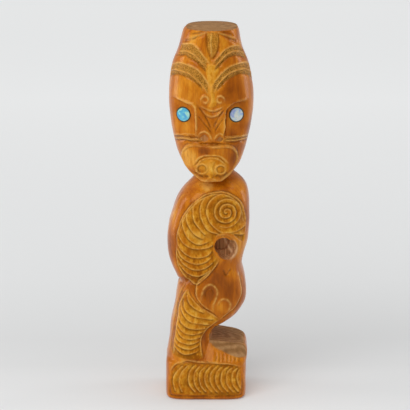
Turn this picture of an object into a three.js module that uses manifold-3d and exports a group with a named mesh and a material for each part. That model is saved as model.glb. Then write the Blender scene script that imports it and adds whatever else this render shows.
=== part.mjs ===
// A carved wooden tekoteko figure, 300 mm tall: one block of wood, with two shell discs for eyes.
// Millimetres, +Z up, the figure faces -Y, and the origin is under the middle of its box.
import * as THREE from "three";
import { mergeVertices } from "three/addons/utils/BufferGeometryUtils.js";
import Module from "manifold-3d";

const wasm = await Module();
wasm.setup();

// Driving dimensions.
const HEIGHT = 300;
const HEAD_AXIS_X = 1.5;
const MUZZLE_RISE = 1.7;
const EYE_DIAMETER = 12;
const EYE_THICKNESS = 1.6;
const INLAY_GAP = 0.3;

// The outline of each form from top to bottom, in sections: height, left, right, front, back, squareness.
const HEAD = [
  [HEIGHT, -18.1, 22.0, -20.6, 21.0, 2.5],
  [297, -20.6, 23.3, -22.2, 22.3, 2.4],
  [284, -24.1, 26.0, -24.2, 23.8, 2.4],
  [272, -28.8, 30.6, -25.7, 25.2, 2.4],
  [261, -30.9, 33.2, -26.6, 26.2, 2.4],
  [246, -31.9, 34.9, -27.2, 27.0, 2.5],
  [228, -30.7, 33.8, -27.2, 26.8, 2.5],
  [208, -27.0, 29.6, -27.0, 24.5, 2.5],
  [195, -22.0, 25.3, -26.4, 18.5, 2.5],
  [188, -16.2, 20.6, -25.6, 9.0, 2.4],
  [184, -11.4, 15.6, -24.8, -1.0, 2.2],
  [181.8, -7.0, 10.5, -23.4, -10.0, 2.0],
];

const BODY = [
  [188, -6.0, 12.0, -6.0, 12.0, 2.2],
  [181, -10.0, 21.0, -11.5, 17.5, 2.3],
  [177, -13.2, 25.8, -15.0, 20.5, 2.4],
  [173, -17.0, 29.0, -20.0, 22.8, 2.6],
  [169, -20.6, 30.6, -23.5, 24.4, 2.8],
  [162, -25.3, 31.7, -26.0, 26.0, 3.0],
  [152, -29.0, 32.1, -27.0, 27.3, 3.0],
  [140, -32.4, 31.9, -27.0, 27.5, 3.0],
  [127, -33.5, 30.4, -26.6, 26.5, 3.0],
  [116, -32.5, 27.2, -26.2, 25.2, 3.0],
  [108, -30.1, 26.1, -25.8, 24.5, 3.0],
  [101, -26.9, 27.7, -25.5, 24.5, 3.0],
  [95, -25.0, 28.9, -25.2, 25.6, 3.0],
  [82, -26.5, 29.7, -26.0, 28.4, 3.0],
  [74, -27.6, 26.9, -26.0, 29.2, 3.0],
  [66, -29.2, 20.4, -25.6, 28.4, 3.0],
  [61, -30.4, 12.4, -25.2, 26.6, 3.0],
  [56, -31.2, 4.4, -25.0, 25.0, 2.8],
  [47, -31.9, 1.6, -24.8, 24.3, 2.7],
  [34, -33.9, 2.6, -25.8, 25.0, 2.8],
  [20, -34.4, 5.0, -26.0, 26.0, 3.0],
];

const BASE = [
  [31.5, -33.6, 28.8, -25.6, 25.8, 5.0],
  [30, -34.5, 29.6, -27.0, 27.0, 5.5],
  [15, -34.9, 29.6, -28.4, 27.8, 6.0],
  [1.5, -34.8, 29.3, -28.2, 27.6, 6.0],
  [0, -34.0, 28.2, -26.8, 26.8, 5.5],
];

const FOOT = [
  [46.3, -6.0, 27.0, -16.0, 25.4, 4.5],
  [44.8, -8.0, 29.4, -17.6, 26.8, 5.0],
  [37, -8.0, 30.6, -22.8, 27.2, 5.0],
  [31, -8.0, 30.2, -25.8, 27.0, 5.5],
  [24, -8.0, 28.4, -25.8, 26.4, 6.0],
];
// The step's top slopes down to the right, about a line at x, and the slope fades out below it.
const FOOT_TOP = { slope: 0.18, x: 8, from: 36, over: 8 };

// A closed three.js geometry becomes a solid that can be joined and cut.
function solid(geometry) {
  const bare = geometry.clone();
  bare.deleteAttribute("normal");
  bare.deleteAttribute("uv");
  const merged = mergeVertices(bare, 1e-4);
  return new wasm.Manifold(
    new wasm.Mesh({
      numProp: 3,
      vertProperties: new Float32Array(merged.attributes.position.array),
      triVerts: new Uint32Array(merged.index.array),
    }),
  );
}

function geometryOf(made) {
  const { vertProperties, triVerts } = made.getMesh();
  const geometry = new THREE.BufferGeometry();
  geometry.setAttribute("position", new THREE.BufferAttribute(new Float32Array(vertProperties), 3));
  geometry.setIndex(new THREE.BufferAttribute(new Uint32Array(triVerts), 1));
  return geometry;
}

// The section at a height, on a smooth curve through the key sections.
function sectionAt(keys, z) {
  let i = 0;
  while (i < keys.length - 2 && z < keys[i + 1][0]) i++;
  const [a, b] = [keys[i], keys[i + 1]];
  const [before, after] = [keys[i - 1] ?? a, keys[i + 2] ?? b];
  const run = b[0] - a[0];
  const t = THREE.MathUtils.clamp((z - a[0]) / run, 0, 1);
  const u = 1 - t;
  return a.slice(1).map((_, n) => {
    const k = n + 1;
    const slopeIn = (b[k] - before[k]) / (b[0] - before[0]);
    const slopeOut = (after[k] - a[k]) / (after[0] - a[0]);
    const ends = u * u * (1 + 2 * t) * a[k] + t * t * (3 - 2 * t) * b[k];
    return ends + t * u * run * (u * slopeIn - t * slopeOut);
  });
}

// The point of a section that lies at an angle from the front, counted towards +X.
function onSection([left, right, front, back, square], angle) {
  const across = Math.sin(angle) / ((right - left) / 2);
  const along = Math.cos(angle) / ((back - front) / 2);
  const r = (Math.abs(across) ** square + Math.abs(along) ** square) ** (-1 / square);
  return [(left + right) / 2 + r * Math.sin(angle), (front + back) / 2 - r * Math.cos(angle)];
}

// Sections stacked at the given heights make one closed form.
function loft(keys, heights, columns, shape = (p) => p) {
  const rows = heights.length - 1;
  const geometry = new THREE.CylinderGeometry(1, 1, 1, columns, rows);
  const place = geometry.attributes.position;
  for (let i = 0; i < place.count; i++) {
    const [px, py, pz] = [place.getX(i), place.getY(i), place.getZ(i)];
    const z = heights[Math.round((py + 0.5) * rows)];
    const section = sectionAt(keys, z);
    const onAxis = Math.hypot(px, pz) < 1e-6;
    const middle = [(section[0] + section[1]) / 2, (section[2] + section[3]) / 2];
    const [x, y] = onAxis ? middle : onSection(section, Math.atan2(px, pz));
    const p = shape(new THREE.Vector3(x, y, z));
    place.setXYZ(i, p.x, p.y, p.z);
  }
  return solid(geometry);
}

// Evenly spaced heights from low to high.
function levels(low, high, count) {
  return Array.from({ length: count + 1 }, (_, i) => low + ((high - low) * i) / count);
}

// The same outline with its front moved.
function withFront(keys, move) {
  return keys.map(([z, left, right, front, ...rest]) => [z, left, right, front + move, ...rest]);
}

// A smooth line through a few points.
function lineThrough(points, pieces) {
  return new THREE.SplineCurve(points.map(([a, z]) => new THREE.Vector2(a, z))).getSpacedPoints(pieces);
}

// A straight-sided block whose outline is drawn in the front view, reaching from one y to another.
function frontPrism(outline, fromY, toY) {
  const geometry = new THREE.ExtrudeGeometry(new THREE.Shape(outline), { depth: toY - fromY, bevelEnabled: false });
  return solid(geometry.rotateX(Math.PI / 2).translate(0, toY, 0));
}

// The nose swells from the bridge to its tip.
const NOSE = { z: 220, height: 13, halfWidth: 11, rise: 1.6 };

function noseSwell(p) {
  if (p.y > 0) return p;
  const up = (p.z - NOSE.z) / NOSE.height;
  const side = (p.x - HEAD_AXIS_X) / NOSE.halfWidth;
  p.y -= NOSE.rise * Math.exp(-up * up - side * side);
  return p;
}

const HEAD_LEVELS = [181.8, 183.5, 187, ...levels(192, 297, 12), 298.8, HEIGHT];
const BODY_LEVELS = [24, 36, 46, 52, 57, 62, 67, 73, 80, ...levels(87.5, 163, 8), 168, 172.5, 177, 182, 188];
const BASE_LEVELS = [0, 1.5, 29, 30.4, 31.5];
const FOOT_LEVELS = [24, 31, 37, 44.8, 45.7, 46.3];
const COLUMNS = 24;

const head = loft(HEAD, HEAD_LEVELS, COLUMNS, noseSwell);
const body = loft(BODY, BODY_LEVELS, COLUMNS);
const base = loft(BASE, BASE_LEVELS, COLUMNS);
const foot = loft(FOOT, FOOT_LEVELS, COLUMNS, (p) => {
  const up = THREE.MathUtils.clamp((p.z - FOOT_TOP.from) / FOOT_TOP.over, 0, 1);
  p.z -= FOOT_TOP.slope * (p.x - FOOT_TOP.x) * up;
  return p;
});

// The muzzle is a shield that stands proud of the lower face.
const muzzleOutline = lineThrough(
  [
    [0.5, 209.6], [-7, 210.6], [-12, 210.8], [-17, 209.5], [-20.5, 205.5], [-21.2, 201], [-20, 196.5],
    [-16.5, 191], [-12.5, 186.5], [-9, 183.5], [-5.5, 181.5], [1.5, 181], [8.5, 181.5], [12, 183.5],
    [16, 187], [20, 193.5], [22, 200], [21, 205], [18, 208.4], [14, 209.8], [8, 209.6], [0.5, 209.6],
  ],
  30,
);
const muzzle = frontPrism(muzzleOutline.slice(0, -1), -40, -14).intersect(
  loft(withFront(HEAD, -MUZZLE_RISE), HEAD_LEVELS.slice(0, 7), COLUMNS),
);

// A flat is pared back round each eye, from the brow to the cheek and from the nose to the side of the head.
function eyeFlat({ x, z, y, turn, outline }) {
  const flat = new THREE.Group();
  flat.position.set(x, y, z);
  flat.rotation.z = turn;
  flat.updateMatrixWorld(true);
  const shape = new THREE.Shape(lineThrough(outline, 16).slice(0, -1));
  const geometry = new THREE.ExtrudeGeometry(shape, { depth: 20, bevelEnabled: false });
  return { frame: flat.matrixWorld, cut: solid(geometry.rotateX(Math.PI / 2).applyMatrix4(flat.matrixWorld)) };
}

const eyes = [
  {
    name: "shell_eye_left",
    x: -20.4,
    y: -19.5,
    z: 233.4,
    turn: -0.38,
    outline: [
      [-14, 13.5], [-6, 13.2], [2, 11.2], [8, 7.5], [10.3, 1], [10.3, -8], [11, -16.5], [2, -16.2], [-14, -15.5],
      [-17, -2], [-14, 13.5],
    ],
  },
  {
    name: "shell_eye_right",
    x: 21.3,
    y: -20.4,
    z: 233.4,
    turn: 0.31,
    outline: [
      [13, 12], [4, 12], [-4, 10.3], [-9, 6], [-10.6, -1], [-10.8, -9], [-11.4, -17], [-2, -17.2], [13, -16.6],
      [17, -2], [13, 12],
    ],
  },
];
for (const eye of eyes) {
  Object.assign(eye, eyeFlat(eye));
}

let block = body.add(base).add(foot).add(head).add(muzzle);
for (const eye of eyes) block = block.subtract(eye.cut);

// The gap between arm and body: overlapping scoops from the front, none of them right through.
const BORES = [
  { x: 10.4, z: 127.7, radius: 7.4, deep: 10, lean: 0.16 },
  { x: 13.4, z: 123, radius: 7.1, deep: 7, lean: 0.04 },
  { x: 15.8, z: 127.3, radius: 6, deep: 3, lean: -0.16 },
];
const BORE_TAPER = 0.86;
const BODY_FRONT = -26;
for (const { x, z, radius, deep, lean } of BORES) {
  const geometry = new THREE.CylinderGeometry(radius * BORE_TAPER, radius, deep + 10, 14);
  block = block.subtract(solid(geometry.rotateZ(lean).translate(x, BODY_FRONT + deep / 2, z)));
}

// Lines are laid on the carved block by casting from outside: bearing lines aim at the head's axis, and front
// lines aim straight back.
const target = new THREE.Mesh(geometryOf(block), new THREE.MeshBasicMaterial({ side: THREE.DoubleSide }));
const caster = new THREE.Raycaster();
const FAR_OUT = 90;

function castTo(from, towards) {
  caster.set(from, towards);
  const [hit] = caster.intersectObject(target);
  if (!hit) throw new Error("a carved line leaves the block at " + from.toArray().join(", "));
  return { point: hit.point, normal: hit.face.normal };
}

const bearing = ([degrees, z]) => {
  const angle = THREE.MathUtils.degToRad(degrees);
  const out = new THREE.Vector3(Math.sin(angle), -Math.cos(angle), 0);
  const axis = new THREE.Vector3(HEAD_AXIS_X, 0, z);
  return castTo(axis.addScaledVector(out, FAR_OUT), out.clone().negate());
};

const frontal = ([x, z]) => castTo(new THREE.Vector3(x, -FAR_OUT, z), new THREE.Vector3(0, 1, 0));

// A three-sided wedge that follows a line on the surface and fades at its ends. With its point inwards it cuts a
// groove, with its point outwards it stands up as a ridge. Its half width is measured at the surface.
const HEEL = 1.3;
const END_DEPTH = 0.3;

function wedge(cast, points, pieces, halfWidth, depth, { outward = false, closed = false } = {}) {
  const laid = lineThrough(points, pieces).map(({ x, y }) => cast([x, y]));
  const geometry = new THREE.CylinderGeometry(1, 1, 1, 3, pieces);
  const place = geometry.attributes.position;
  const [tip, heel] = outward ? [depth, -HEEL] : [-depth, HEEL];
  const heelWidth = (halfWidth * (depth + HEEL)) / depth;
  for (let i = 0; i < place.count; i++) {
    const along = Math.round((place.getY(i) + 0.5) * pieces);
    const { point } = laid[along];
    const tangent = laid[Math.min(along + 1, pieces)].point.clone().sub(laid[Math.max(along - 1, 0)].point).normalize();
    const normal = new THREE.Vector3();
    for (const n of [along - 1, along, along + 1]) if (laid[n]) normal.add(laid[n].normal);
    normal.addScaledVector(tangent, -normal.dot(tangent)).normalize();
    const side = normal.clone().cross(tangent);
    const fade = closed ? 1 : Math.min(1, END_DEPTH + (2 * Math.min(along, pieces - along)) / 3);
    const radial = Math.hypot(place.getX(i), place.getZ(i));
    const atTip = place.getZ(i) > 0.5;
    const height = radial < 1e-6 ? (tip + heel) / 3 : atTip ? tip * fade : heel;
    const across = radial < 1e-6 || atTip ? 0 : Math.sign(place.getX(i)) * heelWidth * (0.4 + 0.6 * fade);
    const p = point.clone().addScaledVector(side, across * (outward ? -1 : 1)).addScaledVector(normal, height);
    place.setXYZ(i, p.x, p.y, p.z);
  }
  return solid(geometry);
}

const cuts = [];
const ridges = [];
const groove = (cast, points, pieces, halfWidth = 0.7, depth = 0.9) =>
  cuts.push(wedge(cast, points, pieces, halfWidth, depth));
const ridge = (cast, points, pieces, halfWidth = 0.7, depth = 0.8) =>
  ridges.push(wedge(cast, points, pieces, halfWidth, depth, { outward: true }));

// Forehead: a spear between two flats, then bands that fan out from the middle and wrap round the sides.
for (const line of [
  [[-13.5, 298.3], [-24, 295.3], [-36, 292.3], [-54, 290]],
  [[13, 298.3], [24, 295.5], [37, 292.4], [54, 289.6]],
  [[-8, 297.5], [-9, 291], [-5, 285], [0, 278.6]],
  [[10, 297], [12, 291], [9, 285.5], [1.5, 279]],
]) groove(bearing, line, 3);
for (const line of [
  [[-2, 273.5], [-12, 277.5], [-25, 282.5], [-40, 286.5], [-58, 286.5], [-82, 283]],
  [[-5, 271], [-16, 274.5], [-27, 278], [-38, 280.5], [-54, 281], [-90, 273]],
  [[-1, 255.5], [-9, 260.5], [-18, 264.5], [-28, 268.5], [-44, 272], [-62, 270], [-92, 263]],
  [[-8, 253.5], [-18, 257], [-28, 261], [-40, 264.5], [-58, 264.8], [-90, 256]],
  [[4, 273.5], [13, 278.5], [26, 282], [41, 284.5], [60, 283], [86, 278]],
  [[8, 271.5], [18, 274.5], [29, 277.5], [44, 279], [65, 276.5], [90, 269]],
  [[5, 256], [13, 261.5], [24, 266.5], [38, 269.5], [56, 270], [96, 262]],
  [[8, 252.5], [17, 256.5], [30, 261], [42, 263], [60, 262.5], [92, 254]],
]) groove(bearing, line, 4, 0.8, 1.0);

// Two curls at the foot of the forehead's stem, over a smile-shaped ridge and a pair of leaves down the nose.
for (const [degrees, z, turn] of [[-9, 246.5, 1], [14, 246.8, -1]]) {
  const curl = levels(0, 1, 8).map((t) => {
    const a = Math.PI * (0.5 + 1.7 * t);
    const r = 3.6 - 1.2 * t;
    return [degrees - turn * (r / 0.5) * Math.cos(a), z + r * Math.sin(a)];
  });
  groove(bearing, curl, 6, 0.6, 0.7);
}
ridge(bearing, [[-16, 241.8], [-7, 239], [3, 238.2], [12, 239.4], [20, 242]], 6);
for (const line of [
  [[-22, 242], [-13, 236.5], [-4, 229.5], [1, 224.5]],
  [[22, 240.5], [13, 233], [8, 227], [3.5, 224]],
  [[-18, 232], [-9, 225.5], [-1, 220.5]],
  [[17, 232], [9, 224.5], [4, 220.5]],
]) groove(bearing, line, 2, 0.6, 0.8);
for (const line of [
  [[-21, 216], [-17, 220], [-10, 221], [-4, 217.5], [-1, 213.5]],
  [[5, 213.5], [8, 218], [13, 220], [20, 217.5]],
]) ridge(bearing, line, 4);

// Brows that run down beside the nose, and the cheek bands.
ridge(bearing, [[-56, 247], [-45, 247.3], [-34, 245], [-27, 241], [-24.5, 235], [-24, 227], [-23.6, 220], [-21, 216]], 7);
ridge(bearing, [[58, 245.6], [43, 245.6], [31, 243.4], [26, 238.5], [23.4, 232], [23, 225], [23, 218.6]], 7);
for (const line of [
  [[-76, 216.5], [-50, 216], [-25, 214.6]],
  [[24, 215], [50, 214.6], [76, 216]],
]) groove(bearing, line, 3);

// The mouth: an arched lip over two rings.
ridge(bearing, [[-27, 196], [-18, 199.6], [-9, 201.6], [1, 202], [11, 200.8], [20, 198.2], [27, 195]], 6);
for (const [degrees, radius] of [[-16, 3.9], [16, 3.7]]) {
  const ring = levels(0, 1, 10).map((t) => {
    const a = 2 * Math.PI * t;
    return [degrees + (radius / 0.49) * Math.cos(a), 191 + radius * Math.sin(a)];
  });
  ridges.push(wedge(bearing, ring, 8, 0.7, 0.8, { outward: true, closed: true }));
}

// The shoulder spiral inside the panel's rim.
const SHOULDER_RIM = [
  [-25.4, 131], [-24.9, 139], [-21.8, 149], [-17.5, 156.6], [-11.6, 163.2], [-5, 168.1], [2, 170.7], [9, 171.3],
  [15.5, 169.9], [21.3, 166.5], [25.6, 161.3], [27.7, 154.3], [28.3, 146.3], [27.7, 138.3],
];
const POUCH_RIM = [
  [4.4, 120], [2.6, 109.5], [-3, 102.8], [-9.5, 97.4], [-16, 101], [-21.4, 108.5], [-24.9, 118], [-25.6, 127],
];
groove(frontal, SHOULDER_RIM, 11);
groove(frontal, POUCH_RIM, 7);
const SPIRAL = { x: 13.6, z: 155.6, start: 1.4, end: 12.7, turns: 3.1 };
const spiral = levels(0, 1, 34).map((t) => {
  const angle = 2 * Math.PI * SPIRAL.turns * t - Math.PI * 0.35;
  const r = SPIRAL.start + (SPIRAL.end - SPIRAL.start) * t;
  return [SPIRAL.x - r * Math.cos(angle), SPIRAL.z + r * Math.sin(angle)];
});
groove(frontal, spiral, 27, 0.75, 1.0);

// Ribs fan from the rim towards the gap between arm and body, then lie across the pouch.
for (const [start, middle, end] of [
  [[-0.5, 169.4], [-3.4, 155], [5, 140.4]],
  [[-6, 166.6], [-9.4, 152.4], [1.8, 138]],
  [[-12, 162], [-14.8, 148], [0.2, 134.6]],
  [[-17.4, 155.6], [-19, 142], [-0.6, 131]],
  [[-21.6, 148], [-21.4, 135], [-1, 127.4]],
  [[-24.4, 138.6], [-19.6, 125.6], [0, 123.4]],
  [[-25, 130], [-15, 117.6], [0.8, 121.6]],
  [[-24.6, 121.6], [-13, 112], [1.6, 116.6]],
  [[-22.6, 114], [-11.5, 107], [1.4, 111.6]],
  [[-19.6, 108], [-10.6, 102.4], [-1, 106.6]],
]) groove(frontal, [start, middle, end], 2, 0.8, 1.0);

// The leg's panel comes to a point at the hip, and ribs cross it from its left rim to its right.
groove(frontal, [[-16.8, 90], [-21, 82], [-23.8, 71], [-26, 60], [-27.8, 48], [-29, 38]], 5, 0.7, 0.8);
groove(
  frontal,
  [[-16.8, 90], [-14.4, 83.6], [-7, 77.6], [2, 70.4], [3, 66], [-2.4, 60], [-6.8, 52], [-7.6, 44], [-6.4, 36]],
  8, 0.7, 0.8,
);
for (const [start, middle, end] of [
  [[-17.6, 86], [-13.4, 79.4], [-7.6, 76.6]],
  [[-19.6, 81], [-14, 73.4], [-2, 71.2]],
  [[-21.4, 75], [-15.6, 67.2], [0.6, 65.4]],
  [[-23, 68], [-17, 60.8], [-3.4, 60]],
  [[-24.2, 61.6], [-18, 54.6], [-7, 54.4]],
  [[-25.4, 55.4], [-18, 48.8], [-8.4, 49.4]],
  [[-26.2, 49], [-18, 43], [-8.8, 44.6]],
  [[-27, 42.6], [-18, 37.6], [-8.4, 39.8]],
]) groove(frontal, [start, middle, end], 2, 0.8, 1.0);

// The thigh: a groove round its outer edge, a rim where it crosses the body, and two looped fingers.
groove(frontal, [[20.6, 106], [23.4, 101], [25.4, 94.5], [25.4, 87], [22.6, 80.4], [17.6, 74.6], [11, 69.6]], 6, 0.8, 1.1);
groove(frontal, [[1.6, 107], [-5, 101], [-9.6, 94.6], [-10.4, 88.4], [-7, 81], [0, 75.4], [7, 70.4]], 7);
ridge(frontal, [[-4.6, 80.4], [-5.4, 86.5], [-3.6, 92], [1.4, 95], [4.4, 91.6], [3, 86], [0.4, 80.4]], 7);
ridge(frontal, [[4, 76.6], [7, 82], [11.4, 84.4], [13.6, 81], [10.6, 75.6]], 5);
groove(frontal, [[12, 109], [15.4, 102.4], [18, 107.4]], 3);

// The pinch at the left waist, where the pouch crosses in front of the hip.
groove(([degrees, z]) => {
  const angle = THREE.MathUtils.degToRad(degrees);
  const out = new THREE.Vector3(Math.sin(angle), -Math.cos(angle), 0);
  return castTo(out.clone().multiplyScalar(FAR_OUT).setZ(z), out.negate());
}, [[-150, 94.6], [-110, 94.4], [-80, 94.8], [-58, 96], [-42, 97.4], [-28, 99]], 6, 1.8, 2.4);

// The base: the "(" ribs of its front panel.
const BASE_RIBS = { first: -13, pitch: 4.4, count: 9 };
for (let i = 0; i < BASE_RIBS.count; i++) {
  const x = BASE_RIBS.first + BASE_RIBS.pitch * i;
  groove(frontal, [[x + 0.6, 28 - 0.16 * i], [x - 4.2, 17.5], [x, 6.2]], 2);
}
for (const line of [
  [[-16.5, 28], [-22.6, 19], [-24, 7]],
  [[-21, 27.6], [-27.4, 19], [-29, 8]],
]) groove(frontal, line, 2);

const joined = (solids) => solids.reduce((all, one) => all.add(one));
let figure = block.subtract(joined(cuts)).add(joined(ridges));

// Each shell disc lies in a shallow socket in its flat.
const wood = new THREE.MeshStandardMaterial({ color: 0xb06a24, roughness: 0.35, metalness: 0 });
const shell = new THREE.MeshStandardMaterial({ color: 0x7fc4cf, roughness: 0.18, metalness: 0 });
const EYE_SIDES = 24;
const discOf = (radius, from, to) =>
  new THREE.CylinderGeometry(radius, radius, to - from, EYE_SIDES).translate(0, -(from + to) / 2, 0);

const part = new THREE.Group();
for (const eye of eyes) {
  const socket = discOf(EYE_DIAMETER / 2 + INLAY_GAP, -EYE_THICKNESS - INLAY_GAP, 3).applyMatrix4(eye.frame);
  figure = figure.subtract(solid(socket));
  const disc = new THREE.Mesh(discOf(EYE_DIAMETER / 2, -EYE_THICKNESS, 0.1), shell);
  disc.name = eye.name;
  disc.position.set(eye.x, eye.y, eye.z);
  disc.rotation.z = eye.turn;
  part.add(disc);
}

const carved = new THREE.Mesh(geometryOf(figure), wood);
carved.name = "carved_wooden_figure";
part.add(carved);

export default part;
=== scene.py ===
"""Looks of a carved, varnished wooden figure with two inlaid shell eyes.

The shaping is in millimetres and the scene in metres. +Z is up and the figure faces -Y.
Front lines are (across, height) as seen from the front. Bearing lines are (degrees from the front, height).
"""

import math

import bpy
import numpy as np
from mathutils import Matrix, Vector


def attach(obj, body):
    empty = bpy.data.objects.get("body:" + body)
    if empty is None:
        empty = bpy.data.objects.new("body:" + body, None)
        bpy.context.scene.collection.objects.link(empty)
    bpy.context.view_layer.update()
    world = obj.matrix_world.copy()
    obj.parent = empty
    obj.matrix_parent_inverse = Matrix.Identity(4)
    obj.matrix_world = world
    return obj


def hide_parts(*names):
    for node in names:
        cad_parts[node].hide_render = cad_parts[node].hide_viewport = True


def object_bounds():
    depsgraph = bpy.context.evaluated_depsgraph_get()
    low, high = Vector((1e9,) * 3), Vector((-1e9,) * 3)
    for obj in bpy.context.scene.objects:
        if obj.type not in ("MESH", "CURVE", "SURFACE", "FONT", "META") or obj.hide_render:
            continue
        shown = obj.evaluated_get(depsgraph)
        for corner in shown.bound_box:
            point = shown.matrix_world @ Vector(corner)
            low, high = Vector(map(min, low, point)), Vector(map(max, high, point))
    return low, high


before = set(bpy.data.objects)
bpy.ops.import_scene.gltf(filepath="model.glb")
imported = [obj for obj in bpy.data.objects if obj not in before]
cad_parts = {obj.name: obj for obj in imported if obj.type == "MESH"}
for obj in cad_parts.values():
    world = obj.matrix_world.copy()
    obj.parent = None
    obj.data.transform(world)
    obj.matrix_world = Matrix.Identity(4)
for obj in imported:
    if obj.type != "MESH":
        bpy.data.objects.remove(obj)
cad_low, cad_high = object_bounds()

MM = 0.001
HEIGHT = 300
HEAD_AXIS_X = 1.5
MUZZLE_RISE = 1.7
EYE_DIAMETER = 12
EYE_THICKNESS = 1.6
INLAY_GAP = 0.3
VOXEL = 0.52
TRIANGLES = 190000

# Key sections, bottom to top: height, left, right, front, back, squareness.
HEAD = [
    [181.8, -7.0, 10.5, -23.4, -10.0, 2.0],
    [184, -11.4, 15.6, -24.8, -1.0, 2.2],
    [188, -16.2, 20.6, -25.6, 9.0, 2.4],
    [195, -22.0, 25.3, -26.4, 18.5, 2.5],
    [208, -27.0, 29.6, -27.0, 24.5, 2.5],
    [228, -30.7, 33.8, -27.2, 26.8, 2.5],
    [246, -31.9, 34.9, -27.2, 27.0, 2.5],
    [261, -30.9, 33.2, -26.6, 26.2, 2.4],
    [272, -28.8, 30.6, -25.7, 25.2, 2.4],
    [284, -24.1, 26.0, -24.2, 23.8, 2.4],
    [297, -20.6, 23.3, -22.2, 22.3, 2.4],
    [300, -18.1, 22.0, -20.6, 21.0, 2.5],
    [302, -16.6, 20.6, -19.4, 19.8, 2.5],
]
BODY = [
    [20, -34.4, 5, -26, 26, 3],
    [34, -33.9, 2.6, -25.8, 25, 2.8],
    [47, -31.9, 1.6, -24.8, 24.3, 2.7],
    [56, -31.2, 4.4, -25, 25, 2.8],
    [61, -30.4, 12.4, -25.2, 26.6, 3],
    [66, -29.2, 20.4, -25.6, 28.4, 3],
    [74, -27.6, 26.9, -26, 29.2, 3],
    [82, -26.5, 29.7, -26, 28.4, 3],
    [95, -25, 28.9, -25.2, 25.6, 3],
    [101, -26.9, 27.7, -25.5, 24.5, 3],
    [108, -30.1, 26.1, -25.8, 24.5, 3],
    [116, -32.5, 27.2, -26.2, 25.2, 3],
    [127, -33.5, 30.4, -26.6, 26.5, 3],
    [140, -32.4, 31.9, -27, 27.5, 3],
    [152, -29, 32.1, -27, 27.3, 3],
    [162, -25.3, 31.7, -26, 26, 3],
    [169, -20.6, 30.6, -23.5, 24.4, 2.8],
    [173, -17, 29, -20, 22.8, 2.6],
    [177, -13.2, 25.8, -15, 20.5, 2.4],
    [181, -10, 21, -11.5, 17.5, 2.3],
    [188, -6, 12, -6, 12, 2.2],
]
BASE = [
    [-1.5, -33.2, 27.1, -25.6, 26.0, 5.5],
    [0, -34.0, 28.2, -26.8, 26.8, 5.5],
    [1.5, -34.8, 29.3, -28.2, 27.6, 6.0],
    [15, -34.9, 29.6, -28.4, 27.8, 6.0],
    [30, -34.5, 29.6, -27.0, 27.0, 5.5],
    [31.5, -33.6, 28.8, -25.6, 25.8, 5.0],
]
FOOT = [
    [24, -8.0, 28.4, -25.8, 26.4, 6],
    [31, -8.0, 30.2, -25.8, 27.0, 5.5],
    [37, -8.0, 30.6, -22.8, 27.2, 5.0],
    [44.8, -8.0, 29.4, -17.6, 26.8, 5.0],
    [46.3, -6.0, 27.0, -16.0, 25.4, 4.5],
]
FOOT_TOP = {"slope": 0.18, "x": 8, "from": 36, "over": 8}
NOSE = {"z": 220, "height": 13, "half_width": 11, "rise": 1.6}
# The gap between arm and body: overlapping blind scoops from the front.
BORES = [
    {"x": 10.4, "z": 127.7, "radius": 7.4, "deep": 10, "lean": 0.16},
    {"x": 13.4, "z": 123, "radius": 7.1, "deep": 7, "lean": 0.04},
    {"x": 15.8, "z": 127.3, "radius": 6, "deep": 3, "lean": -0.16},
]
BORE_TAPER = 0.86
BODY_FRONT = -26
EYES = {
    "left": {
        "x": -20.4,
        "y": -19.5,
        "z": 233.4,
        "turn": -0.38,
        "outline": [
            (-14, 13.5), (-6, 13.2), (2, 11.2), (8, 7.5), (10.3, 1), (10.3, -8), (11, -16.5), (2, -16.2),
            (-14, -15.5), (-17, -2),
        ],
    },
    "right": {
        "x": 21.3,
        "y": -20.4,
        "z": 233.4,
        "turn": 0.31,
        "outline": [
            (13, 12), (4, 12), (-4, 10.3), (-9, 6), (-10.6, -1), (-10.8, -9), (-11.4, -17), (-2, -17.2),
            (13, -16.6), (17, -2),
        ],
    },
}


# Forms

def sections_at(keys, z):
    """Left, right, front, back and squareness at each height, on a smooth curve through the key sections."""
    keys = np.array(keys, float)
    i = np.clip(np.searchsorted(keys[:, 0], z, side="right") - 1, 0, len(keys) - 2)
    a, b = keys[i], keys[i + 1]
    before, after = keys[np.maximum(i - 1, 0)], keys[np.minimum(i + 2, len(keys) - 1)]
    run = b[:, :1] - a[:, :1]
    t = np.clip((z[:, None] - a[:, :1]) / run, 0, 1)
    u = 1 - t
    slope_in = (b - before) / (b[:, :1] - before[:, :1])
    slope_out = (after - a) / (after[:, :1] - a[:, :1])
    ends = u * u * (1 + 2 * t) * a + t * t * (3 - 2 * t) * b
    return (ends + t * u * run * (u * slope_in - t * slope_out))[:, 1:]


def coordinates(obj):
    co = np.empty(len(obj.data.vertices) * 3)
    obj.data.vertices.foreach_get("co", co)
    return co.reshape(-1, 3)


def move_to(obj, co):
    obj.data.vertices.foreach_set("co", np.ascontiguousarray(co, dtype=float).ravel())
    obj.data.update()


def apply(obj, kind, **settings):
    """Adds a modifier to the object and applies it."""
    bpy.ops.object.select_all(action="DESELECT")
    obj.select_set(True)
    bpy.context.view_layer.objects.active = obj
    modifier = obj.modifiers.new(kind.lower(), kind)
    for name, value in settings.items():
        setattr(modifier, name, value)
    bpy.ops.object.modifier_apply(modifier=modifier.name)


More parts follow.
